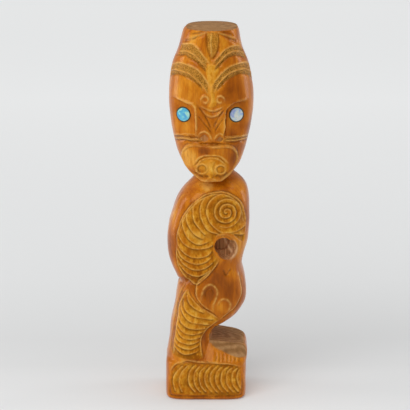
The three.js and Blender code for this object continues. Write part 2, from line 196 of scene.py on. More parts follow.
def loft(name, keys, columns=120, step=1.0, shape=None):
    """A closed form through the key sections: a cylinder cut into rings, each ring laid on its section."""
    low, high = keys[0][0], keys[-1][0]
    rows = round((high - low) / step)
    bpy.ops.object.select_all(action="DESELECT")
    bpy.ops.mesh.primitive_cylinder_add(vertices=columns, radius=1, depth=1)
    obj = bpy.context.object
    obj.name = name
    mesh = obj.data
    ends = np.empty(len(mesh.edges) * 2, int)
    mesh.edges.foreach_get("vertices", ends)
    heights = coordinates(obj)[ends.reshape(-1, 2), 2]
    upright = np.abs(heights[:, 0] - heights[:, 1]) > 0.5
    bpy.context.tool_settings.mesh_select_mode = (False, True, False)
    bpy.ops.object.mode_set(mode="EDIT")
    bpy.ops.mesh.select_all(action="DESELECT")
    bpy.ops.object.mode_set(mode="OBJECT")
    mesh.edges.foreach_set("select", upright)
    bpy.ops.object.mode_set(mode="EDIT")
    bpy.ops.mesh.subdivide(number_cuts=rows - 1)
    bpy.ops.object.mode_set(mode="OBJECT")
    co = coordinates(obj)
    z = low + (high - low) * np.round((co[:, 2] + 0.5) * rows) / rows
    angle = np.arctan2(co[:, 0], -co[:, 1])
    left, right, front, back, square = sections_at(keys, z).T
    across = np.abs(np.sin(angle) / ((right - left) / 2)) ** square
    along = np.abs(np.cos(angle) / ((back - front) / 2)) ** square
    r = (across + along) ** (-1 / square)
    placed = np.stack([(left + right) / 2 + r * np.sin(angle), (front + back) / 2 - r * np.cos(angle), z], 1)
    if shape:
        shape(placed)
    move_to(obj, placed * MM)
    return obj


def nose_swell(p):
    up = (p[:, 2] - NOSE["z"]) / NOSE["height"]
    side = (p[:, 0] - HEAD_AXIS_X) / NOSE["half_width"]
    p[:, 1] -= np.where(p[:, 1] < 0, NOSE["rise"] * np.exp(-up * up - side * side), 0)


def slope_step(p):
    up = np.clip((p[:, 2] - FOOT_TOP["from"]) / FOOT_TOP["over"], 0, 1)
    p[:, 2] -= FOOT_TOP["slope"] * (p[:, 0] - FOOT_TOP["x"]) * up


def bore(obj, x, z, radius, deep, lean):
    """Cuts a tapered blind hole straight in from the front."""
    bpy.ops.object.select_all(action="DESELECT")
    bpy.ops.mesh.primitive_cone_add(
        vertices=64,
        radius1=radius * MM,
        radius2=radius * BORE_TAPER * MM,
        depth=(deep + 10) * MM,
        location=(x * MM, (BODY_FRONT + deep / 2) * MM, z * MM),
        rotation=(-math.pi / 2, 0, lean),
    )
    tool = bpy.context.object
    apply(obj, "BOOLEAN", operation="DIFFERENCE", object=tool, solver="MANIFOLD")
    bpy.data.objects.remove(tool)


def saw_flat(obj, height, upwards):
    """Cuts the form off level and closes it with a flat face."""
    bpy.ops.object.select_all(action="DESELECT")
    obj.select_set(True)
    bpy.context.view_layer.objects.active = obj
    bpy.ops.object.mode_set(mode="EDIT")
    bpy.ops.mesh.select_all(action="SELECT")
    bpy.ops.mesh.bisect(
        plane_co=(0, 0, height * MM), plane_no=(0, 0, 1), use_fill=True, clear_outer=upwards, clear_inner=not upwards
    )
    bpy.ops.object.mode_set(mode="OBJECT")


# Lines and masks of the carving, measured on every vertex at once

def smooth_line(points, pieces=8):
    """A smooth line through a few points."""
    p = np.array(points, float)
    p = np.vstack([2 * p[0] - p[1], p, 2 * p[-1] - p[-2]])
    t = np.linspace(0, 1, pieces, endpoint=False)[:, None]
    rows = []
    for a, b, c, d in zip(p, p[1:], p[2:], p[3:]):
        rows.append(0.5 * (2 * b + (c - a) * t + (2 * a - 5 * b + 4 * c - d) * t * t + (3 * b - a - 3 * c + d) * t ** 3))
    return np.vstack(rows + [p[-2:-1]])


def measure(chart, line, reach=7.0):
    """Each vertex's distance from a line, the side it lies on, and how far along the line it is."""
    distance = np.full(len(chart), 99.0)
    side = np.ones(len(chart))
    along = np.zeros(len(chart))
    near = np.all((chart > line.min(0) - reach) & (chart < line.max(0) + reach), 1)
    index = np.nonzero(near)[0]
    q = chart[index]
    best = np.full(len(q), 1e9)
    signs = np.ones(len(q))
    run = np.zeros(len(q))
    travelled = 0.0
    for a, b in zip(line, line[1:]):
        d = b - a
        length = math.hypot(*d)
        if length < 1e-9:
            continue
        w = q - a
        t = np.clip((w @ d) / length ** 2, 0, 1)
        gap = w - t[:, None] * d
        found = gap[:, 0] ** 2 + gap[:, 1] ** 2
        closer = found < best
        best[closer] = found[closer]
        signs[closer] = np.sign(d[0] * w[closer, 1] - d[1] * w[closer, 0])
        run[closer] = travelled + t[closer] * length
        travelled += length
    distance[index] = np.sqrt(best)
    side[index] = signs
    along[index] = run
    return distance, side, along / max(travelled, 1e-9)


def inside(chart, outline):
    """Signed distance to a closed outline, positive inside."""
    loop = smooth_line(list(outline) + [outline[0]], 5)
    distance, _, _ = measure(chart, loop, 4.0)
    low, high = loop.min(0), loop.max(0)
    index = np.nonzero(np.all((chart > low) & (chart < high), 1))[0]
    q = chart[index]
    odd = np.zeros(len(q), bool)
    for a, b in zip(loop, loop[1:]):
        if a[1] == b[1]:
            continue
        crosses = (a[1] > q[:, 1]) != (b[1] > q[:, 1])
        odd ^= crosses & (q[:, 0] < a[0] + (q[:, 1] - a[1]) * (b[0] - a[0]) / (b[1] - a[1]))
    signed = -distance
    signed[index[odd]] *= -1
    return signed


def step(value, low, high):
    """A soft step from 0 at low to 1 at high."""
    t = np.clip((value - low) / (high - low), 0, 1)
    return t * t * (3 - 2 * t)


DEGREE = 0.52


class Carving:
    """The depth of the carving and what its surface shows, for each vertex."""

    def __init__(self, co, normal):
        self.co, self.normal = co, normal
        self.facing = step(-normal[:, 1], 0.0, 0.35)
        x, y, z = co.T
        wander = np.stack([
            0.12 * np.sin(0.42 * z + 0.21 * x) + 0.05 * np.sin(1.13 * z - 0.7 * x + 2.0),
            0.11 * np.sin(0.37 * x - 0.30 * z + 1.0) + 0.05 * np.sin(1.27 * x + 0.8 * z),
        ], 1)
        self.uneven = 0.82 + 0.18 * np.sin(0.9 * x + 0.35 * z) * np.sin(0.75 * z - 0.4 * x + 0.6)
        self.front = co[:, [0, 2]] + wander
        bearing = np.degrees(np.arctan2(co[:, 0] - HEAD_AXIS_X, -co[:, 1]))
        self.bearing = bearing
        self.round = np.stack([bearing * DEGREE, co[:, 2]], 1) + wander
        n = len(co)
        self.rise = np.zeros(n)
        # pale is painted highlight on ridges and edges; the next mark is painted shade in grooves and at the foot of
        # each drop; deep sets painted shade down rib valleys; tone is mostly stain, with one painted highlight
        self.marks = {name: np.zeros(n) for name in ("pale", "painted_shade", "deep", "carved", "hatch", "bare", "hollow", "tone")}

    def mark(self, name, amount):
        self.marks[name] = np.maximum(self.marks[name], amount)

    def chart(self, around):
        return (self.round, 1.0) if around else (self.front, self.facing)

    def line(self, points, around):
        points = np.array(points, float)
        if around:
            points = points * [DEGREE, 1]
        return smooth_line(points)

    def groove(self, points, half_width=0.9, depth=0.8, around=False, painted_shade=1.0):
        chart, shown = self.chart(around)
        d, _, t = measure(chart, self.line(points, around), 4.0)
        ends = 0.35 + 0.65 * step(np.minimum(t, 1 - t), 0, 0.12)
        cut = np.exp(-(d / half_width) ** 2) * shown * ends
        self.rise -= depth * cut * self.uneven
        # Painted shade along the groove.
        self.mark("painted_shade", painted_shade * np.exp(-(d / (half_width * 0.75)) ** 2) * shown * ends)

    def ridge(self, points, half_width=0.7, height=0.5, around=False, pale=1.0):
        chart, shown = self.chart(around)
        d, _, t = measure(chart, self.line(points, around), 4.0)
        ends = 0.3 + 0.7 * step(np.minimum(t, 1 - t), 0, 0.12)
        self.rise += height * np.exp(-(d / half_width) ** 2) * shown * ends * self.uneven
        # Painted highlight along the ridge.
        self.mark("pale", pale * np.exp(-(d / (half_width * 0.8)) ** 2) * shown * ends)

    def edge(self, points, outer, depth=0.9, gentle=2.4, around=False, pale=0.9):
        """A rim: a ridge line with a steep drop on its outer side."""
        chart, shown = self.chart(around)
        d, side, t = measure(chart, self.line(points, around), 6.0)
        ends = 0.3 + 0.7 * step(np.minimum(t, 1 - t), 0, 0.1)
        out = np.where(side * outer > 0, d, 0)
        drop = step(out, 0.1, 1.0) * np.exp(-np.maximum(out - 1.0, 0) / gentle)
        self.rise -= depth * drop * shown * ends * (d < 50)
        # Painted shade at the foot of the drop and a painted highlight along the rim line.
        self.mark("painted_shade", 0.9 * np.exp(-((out - 1.0) / 0.6) ** 2) * shown * ends * (side * outer > 0))
        self.mark("pale", pale * np.exp(-(d / 0.5) ** 2) * shown * ends)

    def ribs(self, lines, outer, within, depth=1.0, pitch=5.0, around=False, pale=0.9):
        """Overlapping scales: each line is a ridge with a steep foot outside it and a long slope inside it."""
        chart, shown = self.chart(around)
        d_in = np.full(len(chart), 99.0)
        d_out = np.full(len(chart), 99.0)
        for points in lines:
            d, side, _ = measure(chart, self.line(points, around), pitch * 1.6)
            is_out = side * outer > 0
            d_out = np.where(is_out, np.minimum(d_out, d), d_out)
            d_in = np.where(is_out, d_in, np.minimum(d_in, d))
        weight = within * shown
        slope = 1 - np.exp(-d_in / (0.42 * pitch))
        foot = 1 - np.exp(-(d_out / 0.55) ** 2)
        self.rise -= depth * weight * slope * foot * self.uneven
        # Painted shade that deepens down each valley, a painted highlight along each line and painted shade at each
        # foot.
        self.mark("deep", weight * np.clip(d_in / pitch, 0, 1) * foot)
        nearest = np.minimum(d_in, d_out)
        self.mark("pale", pale * weight * np.exp(-(nearest / 0.5) ** 2))
        self.mark("painted_shade", 0.9 * weight * np.exp(-((d_out - 1.0) / 0.7) ** 2))

    def sink(self, mask, depth):
        self.rise -= depth * mask

    def band(self, upper, lower, deep=0.7, around=True):
        """A sunk, stippled strip between an upper and a lower ridge."""
        chart, shown = self.chart(around)
        a, b = self.line(upper, around), self.line(lower, around)
        a, b = a[np.argsort(a[:, 0])], b[np.argsort(b[:, 0])]
        x, z = chart.T
        top, bottom = np.interp(x, a[:, 0], a[:, 1]), np.interp(x, b[:, 0], b[:, 1])
        low, high = max(a[0, 0], b[0, 0]), min(a[-1, 0], b[-1, 0])
        mask = step(x, low - 1, low + 1) * step(high - x, -1, 1) * step(top - z, 0.1, 0.9) * step(z - bottom, 0.1, 0.9)
        mask = mask * shown
        stipple = 0.5 + 0.5 * np.sin(3.1 * x + 1.3 * z) * np.sin(3.3 * z - 1.7 * x)
        self.rise -= mask * (deep + 0.4 * stipple) * self.uneven
        self.mark("hatch", mask)
        self.mark("carved", mask)


# The forms, made one and cut level at crown and underside
head = loft("head", HEAD, shape=nose_swell)
body = loft("body", BODY)
base = loft("base", BASE)
foot = loft("foot", FOOT, shape=slope_step)
for cut in BORES:
    bore(body, **cut)
bpy.ops.object.select_all(action="DESELECT")
for part in (head, base, foot, body):
    part.select_set(True)
bpy.context.view_layer.objects.active = body
bpy.ops.object.join()
figure = bpy.context.object
figure.name = "carved_figure"
apply(figure, "REMESH", mode="VOXEL", voxel_size=VOXEL * MM)
saw_flat(figure, HEIGHT, True)
saw_flat(figure, 0, False)

co = coordinates(figure) / MM
normal = np.empty(len(co) * 3)
figure.data.vertex_normals.foreach_get("vector", normal)
normal = normal.reshape(-1, 3)


def eye_frame(eye, p):
    """A point's place on an eye's flat: across, up, and behind the flat."""
    c, s = math.cos(eye["turn"]), math.sin(eye["turn"])
    dx, dy = p[:, 0] - eye["x"], p[:, 1] - eye["y"]
    return np.stack([c * dx + s * dy, p[:, 2] - eye["z"]], 1), c * dy - s * dx


CREASE = 1.6
flat_masks = []
for eye in EYES.values():
    place, behind = eye_frame(eye, co)
    flat = inside(np.where((behind < 6)[:, None], place, 99.0), eye["outline"])
    outer = place[:, 0] * (-1 if eye["x"] < 0 else 1)
    mask = step(flat, -0.2, 0.7) * (1 - step(outer, 8, 14))
    flat_masks.append(mask)
    push = 0.5 * (np.sqrt(behind ** 2 + CREASE ** 2) - behind) * mask * (co[:, 1] < 0) * step(3 - behind, 0, 2)
    co[:, 0] -= math.sin(eye["turn"]) * push
    co[:, 1] += math.cos(eye["turn"]) * push
flats = np.maximum(*flat_masks)

move_to(figure, co * MM)
figure.data.vertex_normals.foreach_get("vector", normal.ravel())
work = Carving(co, normal)
front_only = work.facing

# The muzzle is a shield that stands proud of the lower face.
MUZZLE = [
    (-7, 210.6), (-12, 210.8), (-17, 209.5), (-20.5, 205.5), (-21.2, 201), (-20, 196.5), (-16.5, 191),
    (-12.5, 186.5), (-9, 183.5), (-5.5, 181.5), (1.5, 181), (8.5, 181.5), (12, 183.5), (16, 187), (20, 193.5),
    (22, 200), (21, 205), (18, 208.4), (14, 209.8), (8, 209.6), (0.5, 209.6),
]
muzzle = inside(work.front, MUZZLE)
work.rise += MUZZLE_RISE * step(muzzle, -0.6, 0.6) * front_only * (co[:, 2] > 180)

# Forehead: stippled bands between ridges sweep down to the middle from both sides, over a groove with painted shade.
BANDS = {
    "upper": {
        "left": {
            "top": [(-66, 288), (-45, 289.5), (-36, 289.5), (-24, 286), (-15, 281.5), (-5, 276), (-1, 273)],
            "foot": [(-68, 282), (-48, 283.5), (-36, 282.5), (-26, 280), (-17, 276), (-8, 271)],
            "groove": [(-80, 279), (-51, 281.5), (-40, 280), (-28, 278), (-18, 274), (-10, 270)],
        },
        "right": {
            "top": [(76, 283.5), (55, 287), (38, 287.5), (25, 285.5), (16, 281.5), (6, 277.5), (1, 273.5)],
            "foot": [(78, 279), (64, 282), (42, 283.5), (28, 281.5), (18, 278), (7, 273)],
            "groove": [(80, 276), (54, 281), (36, 281), (24, 278.5), (15, 274.5), (7, 271)],
        },
    },
    "lower": {
        "left": {
            "top": [(-88, 268.5), (-62, 273.5), (-49, 274), (-36, 273), (-25, 270.5), (-15, 266.5), (-8, 261.5), (0, 255)],
            "foot": [(-90, 264.5), (-66, 268), (-50, 268), (-38, 267), (-30, 264.5), (-22, 261.5), (-13, 257), (-6, 251.5)],
            "groove": [(-92, 261), (-58, 266), (-41, 265), (-31, 263), (-21, 259.5), (-15, 255.5)],
        },
        "right": {
            "top": [(88, 268), (71, 273), (49, 274), (35, 273), (25, 270.5), (15, 266), (6, 261), (2, 256)],
            "foot": [(90, 261.5), (79, 266), (59, 269), (43, 269), (30, 267), (20, 263.5), (12, 259), (5, 253)],
            "groove": [(92, 258), (78, 261.5), (67, 265), (49, 267), (37, 265.5), (25, 263), (17, 259), (10, 255)],
        },
    },
}
for pair in BANDS.values():
    for band in pair.values():
        work.band(band["top"], band["foot"])
        work.band(band["foot"], [(a, z - 1.6) for a, z in band["groove"]], 0.9)
        work.ridge(band["top"], 0.9, 0.5, True)
        work.ridge(band["foot"], 0.85, 0.5, True)
        work.groove([(a, z - 1.0) for a, z in band["groove"]], 1.1, 0.5, True, 0.6)

# Above them: notches under the crown, and a stippled leaf between two polished triangles.
for points, half_width, depth in (
    ([(-60, 290.5), (-38, 293.6), (-23, 296.6), (-12, 299)], 1.5, 1.2),
    ([(-44, 297), (-27, 298.6), (-19, 299.3)], 1.0, 0.8),
    ([(14, 299), (24, 297), (36, 294), (56, 290.5)], 1.5, 1.2),
    ([(23, 299.3), (34, 298), (46, 295.6)], 1.0, 0.8),
    ([(-10, 299), (-9, 291.5), (-6, 285), (-1, 279)], 1.1, 1.2),
    ([(14, 299), (15, 291.5), (13, 285.5), (7, 280.5), (0, 278.5)], 1.1, 1.0),
):
    work.groove(points, half_width, depth, True, 0.8)
for side in (-1, 1):
    work.ridge([(2 + side * 10, 299.5), (2 + side * 21, 297.6), (2 + side * 35, 295.4), (2 + side * 52, 292.6)], 0.8, 0.5, True, 0.8)
work.ridge([(1, 299), (-1, 292), (0, 285.5), (0, 280.5)], 0.9, 0.7, True, 0.9)
leaf = inside(work.round, [(-5, 299), (-4.6, 291), (-3, 285), (0, 279), (3.6, 281), (6.6, 286), (7.6, 292), (7, 299)])
work.mark("hatch", 0.7 * step(leaf, 0, 1))
work.mark("carved", step(leaf, 0, 1))

# Between the bands: a raised diamond, and a stem that parts into two curls.
diamond = inside(work.round, [(-7, 274), (0, 275), (7.4, 272), (4.6, 263), (1.4, 256), (-2, 258), (-4.4, 265)])
work.rise += 0.5 * step(diamond, 0, 1.5)
work.mark("carved", 0.8 * step(diamond, 0, 1))
stem = inside(work.round, [
    (-0.6, 259), (1.8, 259), (2.6, 253), (3.4, 248), (5.2, 243.4), (3.4, 240.6), (0.2, 240.2), (-2.4, 241.4), (-0.4, 246), (-1.2, 252),
])
work.rise += 0.7 * step(stem, 0, 1)
work.mark("carved", 0.8 * step(stem, 0, 1))
for turn, centre in ((1, (-10, 246.5)), (-1, (14, 246.5))):
    curl = []
    for i in range(13):
        angle = math.pi * (0.5 + turn * (0.55 - i * 0.16))
        r = 3.7 - 0.17 * i
        curl.append((centre[0] + r * math.cos(angle) / DEGREE, centre[1] + r * math.sin(angle)))
    work.ridge(curl, 0.95, 0.8, True)
for points in (
    [(-17, 242), (-10, 240), (0, 238), (11, 239), (19, 241.5)],
    [(-14, 238), (-8, 235), (0, 233.5), (9, 234.5), (17, 238)],
):
    work.ridge(points, 0.75, 0.7, True)
    work.groove([(a, z - 1.3) for a, z in points], 0.7, 0.5, True, 0.6)

# The nose bridge: nested V lines down to the tip.
for points in (
    [(-22, 242), (-14, 236.5), (-5, 229.5), (1, 222.5)],
    [(21, 238.5), (14, 234), (8, 229.5), (4, 224.5)],
):
    work.groove(points, 0.9, 0.9, True)
for points in (
    [(-21, 234), (-14, 229.5), (-6, 225), (0, 220.5)],
    [(19, 231.5), (12, 226.5), (6, 222)],
):
    work.groove(points, 0.7, 0.6, True)

# Brows and the sides of the nose frame each flat.
for brow, hollow in (
    (
        [(-57, 246), (-47, 246), (-39, 244.5), (-30, 243), (-26, 240.5), (-25, 237), (-24, 230.5), (-24, 224), (-24, 218)],
        [(-28, 240), (-28, 237), (-28, 230.5), (-28, 224), (-27, 218)],
    ),
    (
        [(58, 245), (45, 245), (37, 243), (28, 241), (25, 237), (21, 230.5), (21, 224), (20, 217)],
        [(30, 239), (28, 236), (26, 229.5), (25, 223), (25, 217)],
    ),
):
    work.ridge(brow, 0.9, 0.8, True)
    work.ridge(brow[:4], 1.2, 0.3, True, 0.8)
    work.groove(hollow, 0.9, 0.9, True)

# Nostrils and the cheek lines that run back from them.
for arc in (
    [(-8.5, 218), (-7, 220.5), (-3.5, 221.5), (0, 219), (2, 214.5)],
    [(3.5, 215), (5.5, 218.5), (8.5, 220), (12, 217.5)],
):
    work.ridge(arc, 0.7, 0.6)
for patch in ([(-8, 216), (-4, 219.5), (-0.5, 216), (-2, 213), (-6, 213)], [(4.6, 214), (8, 218), (11.6, 215.6), (9, 212.6)]):
    hole = inside(work.front, patch)
    work.sink(step(hole, -0.4, 1.0) * front_only, 1.0)
    work.mark("hollow", 0.5 * step(hole, 0, 1) * front_only)
    # Painted shade in each nostril.
    work.mark("painted_shade", 0.6 * step(hole, 0, 1) * front_only)
for points in (
    [(-74, 213.5), (-51, 216), (-34, 216.5), (-19, 216.5)],
    [(-74, 210.5), (-46, 213), (-32, 213), (-16, 213.5)],
    [(22, 215), (36, 214.5), (49, 214.5), (73, 213.5)],
    [(22, 212.5), (37, 212), (49, 212), (73, 211)],
):
    work.groove(points, 0.9, 1.0, True)
    work.ridge([(a, z + 1.4) for a, z in points], 0.7, 0.35, True, 0.8)
for around in ((-66, -18), (20, 66)):
    cheek = inside(work.round, [(around[0] * DEGREE, 213), (around[1] * DEGREE, 213), (around[1] * DEGREE, 217), (around[0] * DEGREE, 216)])
    work.mark("hatch", 0.6 * step(cheek, -0.3, 0.8))

# Muzzle: its rim, the lips, two rings and the knot between them.
work.edge(MUZZLE + [MUZZLE[0]], -1, 0.6, 1.5, pale=0.7)
work.ridge([(x * 0.955, 196 + (z - 196) * 0.95) for x, z in MUZZLE[:21]], 0.75, 0.5, pale=0.9)
for end in (MUZZLE[:4], MUZZLE[14:21]):
    work.groove([(x * 0.91, 196 + (z - 196) * 0.9) for x, z in end], 0.8, 0.4, painted_shade=0.5)
work.groove([(-8, 211), (-2, 211.4), (4.5, 211.4), (11, 210.6)], 1.2, 1.4)
mouth = inside(work.front, [(-11.5, 196), (-7, 201.5), (2, 203), (9, 202), (14, 196), (14, 188), (9, 184.5), (2, 184), (-6, 184), (-11, 188)])
work.mark("carved", 0.6 * step(mouth, -0.5, 1) * front_only)
work.sink(0.5 * step(mouth, 0, 1.5) * front_only, 0.7)
work.ridge([(-11.5, 195), (-7.5, 200.5), (-2, 202.5), (3, 202.5), (8.5, 201.5), (14, 196)], 0.8, 1.0)
work.groove([(-11, 194), (-7, 199.2), (-2, 201.2), (3, 201.4), (8, 200.4), (13, 195.4)], 0.5, 0.6, painted_shade=0.6)
work.ridge([(-10.8, 193), (-6.5, 198), (-2, 200), (3, 200.3), (7.5, 199.2), (12.6, 194.4)], 0.7, 0.7)
for centre, radius in (((-5.5, 191.5), 4), ((8.5, 191), 3.8)):
    ring = [(centre[0] + radius * math.cos(a), centre[1] + radius * math.sin(a)) for a in np.linspace(0, 2 * math.pi, 13)]
    work.ridge(ring, 0.75, 1.1)
    boss = np.hypot(*(work.front - centre).T)
    work.rise += 0.7 * np.exp(-(boss / (radius * 0.5)) ** 2) * front_only
    # Painted shade in the groove round each boss.
    work.mark("painted_shade", 0.8 * np.exp(-((boss - radius * 0.72) / 0.5) ** 2) * front_only)
knot = inside(work.front, [(-1.4, 198.4), (4.8, 198.4), (3.4, 193), (3.8, 187.5), (3, 184), (0, 184), (-0.6, 187.5), (0.2, 193)])
work.rise += 0.9 * step(knot, -0.2, 1.2) * front_only
work.mark("carved", step(knot, 0, 1) * front_only)
for crescent in ([(-10.5, 188), (-8.5, 185.6), (-5, 184.6), (-0.5, 185.2)], [(4.4, 185.4), (8.5, 184.6), (12, 185.8), (14, 188.4)]):
    work.groove(crescent, 1.3, 1.7)
for lobe in ([(-12.5, 186.5), (-8, 182.4), (-4, 181.6), (-0.5, 183.4)], [(2.6, 183.8), (7, 182.2), (12, 183.6), (16, 187.5)]):
    work.ridge(lobe, 0.7, 0.5)

# Torso: the shoulder rim, the spiral and the ribs that fan from it, and the pouch below.
RIM = [
    (-25.4, 127), (-25.6, 133), (-24.9, 139), (-21.8, 149), (-17.5, 156.6), (-11.6, 163.2), (-5, 168.1), (2, 170.7),
    (9, 171.3), (15.5, 169.9), (21.3, 166.5), (25.6, 161.3), (28, 154.3), (29, 146.3), (28.4, 138.3),
]
POUCH = [
    (7.5, 116.5), (4.5, 111), (-1, 104), (-8.5, 96.6), (-12, 96), (-16, 98.5), (-20.5, 103), (-24.5, 110), (-26, 118),
    (-25.8, 127),
]
panel = inside(work.front, RIM + [(27, 130), (22.6, 133), (18, 137), (12, 138.6), (5, 135), (3.5, 127), (4.6, 120)] + POUCH[:-1])
panel_mask = step(panel, -0.3, 0.9)
SPIRAL = {"x": 13.6, "z": 155.6, "start": 0.8, "end": 12.6, "turns": 3.0}
spiral = []
for i in range(61):
    t = i / 60
    angle = 2 * math.pi * SPIRAL["turns"] * t - 0.35 * math.pi
    r = SPIRAL["start"] + (SPIRAL["end"] - SPIRAL["start"]) * t
    spiral.append((SPIRAL["x"] - r * math.cos(angle), SPIRAL["z"] + r * math.sin(angle)))
FAN = [
    [(27, 136), (20, 137.4), (12, 137), (5, 138.5), (-1, 141.5), (-5.5, 148.5), (-7, 155), (-6.5, 161.5), (-3.5, 166.5), (2, 169.5)],
    [(28.6, 143), (22, 139.8), (15.5, 139), (9.5, 139.5), (4, 143.5), (0, 149), (-2, 156.5), (-0.5, 163), (4, 167.5), (9, 169.5)],
    [(-3.5, 138), (-8, 143), (-12, 149), (-13, 156), (-11.5, 162), (-6.5, 167)],
    [(-6, 134.5), (-12, 138), (-15.5, 143), (-18, 149.5), (-17, 156), (-13.5, 162)],
    [(-2, 131), (-8.5, 129.5), (-15.5, 133), (-19, 138), (-21, 143.5), (-21.5, 148.5), (-19, 154)],
    [(2, 128.5), (-2, 126.5), (-8.5, 125.5), (-16, 127), (-21, 130.5), (-23.5, 135), (-25, 140)],
    [(1, 122.5), (-2, 120), (-7.5, 118.5), (-13.5, 118.5), (-20, 122), (-24.5, 127.5), (-26, 133)],
    [(1, 118), (-3.5, 114.5), (-9.5, 113), (-16.5, 114.5), (-22.5, 119), (-25.5, 125)],
    [(2, 113.5), (-3, 109.5), (-9.5, 108), (-16, 109.5), (-21.5, 113.5), (-25, 119)],
    [(1, 107.5), (-3.5, 104.5), (-8.5, 102.5), (-14, 103.5), (-19.5, 106.5), (-24, 112)],
]
fan_mask = panel_mask * (1 - step(inside(work.front, [(SPIRAL["x"] + 12.6 * math.cos(a), SPIRAL["z"] + 12.8 * math.sin(a)) for a in np.linspace(0, 6.283, 17)[:-1]]), -0.6, 0.6))
spiral_mask = panel_mask - fan_mask
work.ribs(FAN, 1, fan_mask, 1.3, 6.0)
work.ribs([spiral], 1, spiral_mask, 1.1, 3.9)
work.mark("carved", panel_mask * front_only)
work.edge(RIM, 1, 0.9, 2.5)
inner_rim = [(x + (3 - x) * 0.065, z + (150 - z) * 0.075) for x, z in RIM[2:-1]]
work.groove([(x + (3 - x) * 0.03, z + (150 - z) * 0.035) for x, z in RIM[2:-1]], 0.5, 0.5, painted_shade=0.7)
work.ridge(inner_rim, 0.6, 0.5)
work.edge(POUCH, 1, 1.0, 2.0)
hollow = inside(work.front, [(3.4, 127), (6, 135.6), (12, 137), (18, 134), (22, 127), (21, 119.6), (15, 115.6), (9, 116.6), (5, 120)])
work.mark("hollow", step(work.co[:, 1], -25, -23) * step(hollow, -1.5, 0.5) * (work.co[:, 1] < 12))
# Painted highlight on the rounded edge between the scoops.
work.ridge([(10.5, 136.5), (11.6, 132), (13.4, 127.6), (16, 123), (19.4, 118)], 1.2, 0.5, pale=0.9)
# Only paint, no cut: a painted highlight along the hollow's edge with painted shade beside it.
work.edge([(6, 136.5), (10.5, 137.8), (15, 136.6), (19.8, 132.4), (22, 127), (21.4, 122), (18.8, 118)], -1, 0.0, 1.0, pale=0.7)
work.groove([(11, 108), (13.5, 103.5), (17, 108)], 0.9, 0.9)

# Hip, leg and thigh.
work.edge([(-22.5, 96), (-20.5, 94), (-22.5, 89.5), (-24.5, 84.5), (-27, 74.5), (-29.5, 59.5), (-31.5, 45), (-32.5, 35.5)], 1, 0.4, 1.5, pale=0.5)
LEG_LEFT = [(-17, 91), (-21.5, 84), (-24, 76.5), (-25, 68), (-26.5, 58.5), (-27.5, 51), (-28.5, 44), (-29.5, 36)]
LEG_RIGHT = [(-17, 91), (-16, 87), (-12.5, 82), (-8, 77.5), (-2, 73.5), (4.5, 69.5), (7.5, 66.5)]
SHIN = [(7.5, 66.5), (3, 62.5), (-2, 58.5), (-5.5, 52.5), (-7, 47), (-6.5, 40.5), (-5, 34.5)]
shin_mask = step(inside(work.front, LEG_RIGHT + SHIN[1:] + [(-14, 33)] + LEG_LEFT[::-1][:-1]), -0.2, 0.9)
LEG_RIBS = [
    [(-5, 73), (-11.5, 76), (-16, 80), (-17.5, 85.5)],
    [(2, 67), (-7.5, 68.5), (-15.5, 71), (-19.5, 75), (-20.5, 81)],
    [(0, 62.5), (-9.5, 63.5), (-16.5, 65.5), (-20.5, 69.5), (-22.5, 74.5)],
    [(-3.5, 59), (-11.5, 58.5), (-18.5, 60.5), (-23, 64), (-24.5, 68.5)],
    [(-6, 55.5), (-13.5, 54), (-20, 55.5), (-24, 59), (-26, 62)],
    [(-7.5, 51.5), (-14, 50), (-19.5, 50.5), (-23.5, 53), (-26, 57)],
    [(-9, 48), (-15, 46), (-20, 46.5), (-25, 48.5), (-27, 52.5)],
    [(-9.5, 44), (-15, 42), (-21, 42.5), (-25.5, 44.5), (-27.5, 47.5)],
    [(-10, 39.5), (-15.5, 38), (-21, 38), (-25.5, 40.5), (-28, 43)],
]
work.ribs(LEG_RIBS, 1, shin_mask, 0.9, 4.6, pale=0.7)
work.mark("carved", shin_mask * front_only)
work.edge(LEG_LEFT, -1, 0.6, 1.5)
work.edge(LEG_RIGHT, 1, 0.7, 1.5)
work.edge(SHIN, 1, 0.7, 1.5)
work.edge([(23, 104.5), (25, 96), (25.5, 87), (23, 80), (19, 75), (14, 71), (8.5, 67)], 1, 1.2, 3.0)
work.edge([(3, 108), (-3.5, 103), (-8.5, 98), (-10.5, 92.5), (-10, 86), (-6.5, 80.5), (-1.5, 76), (3, 73.5)], -1, 0.9, 2.0)
for points in (
    [(-6.5, 83), (-6, 88), (-3.5, 93.5), (1, 96), (5, 93.5), (6.5, 89.5), (5, 84), (3, 79), (3, 74.5)],
    [(6.5, 79), (8.5, 82.5), (12.5, 84), (16, 81.5), (16.5, 77), (14, 73)],
):
    work.ridge(points, 1.0, 0.7, pale=0.8)
work.groove([(-3.5, 84.5), (-3, 89.5), (0.5, 92.5), (3, 90), (2.5, 85), (0, 80)], 0.9, 0.6, painted_shade=0.5)
work.groove([(-150, 94.6), (-110, 94.4), (-80, 94.8), (-58, 96), (-42, 97.4), (-28, 99)], 2.0, 2.4, True, 0.3)

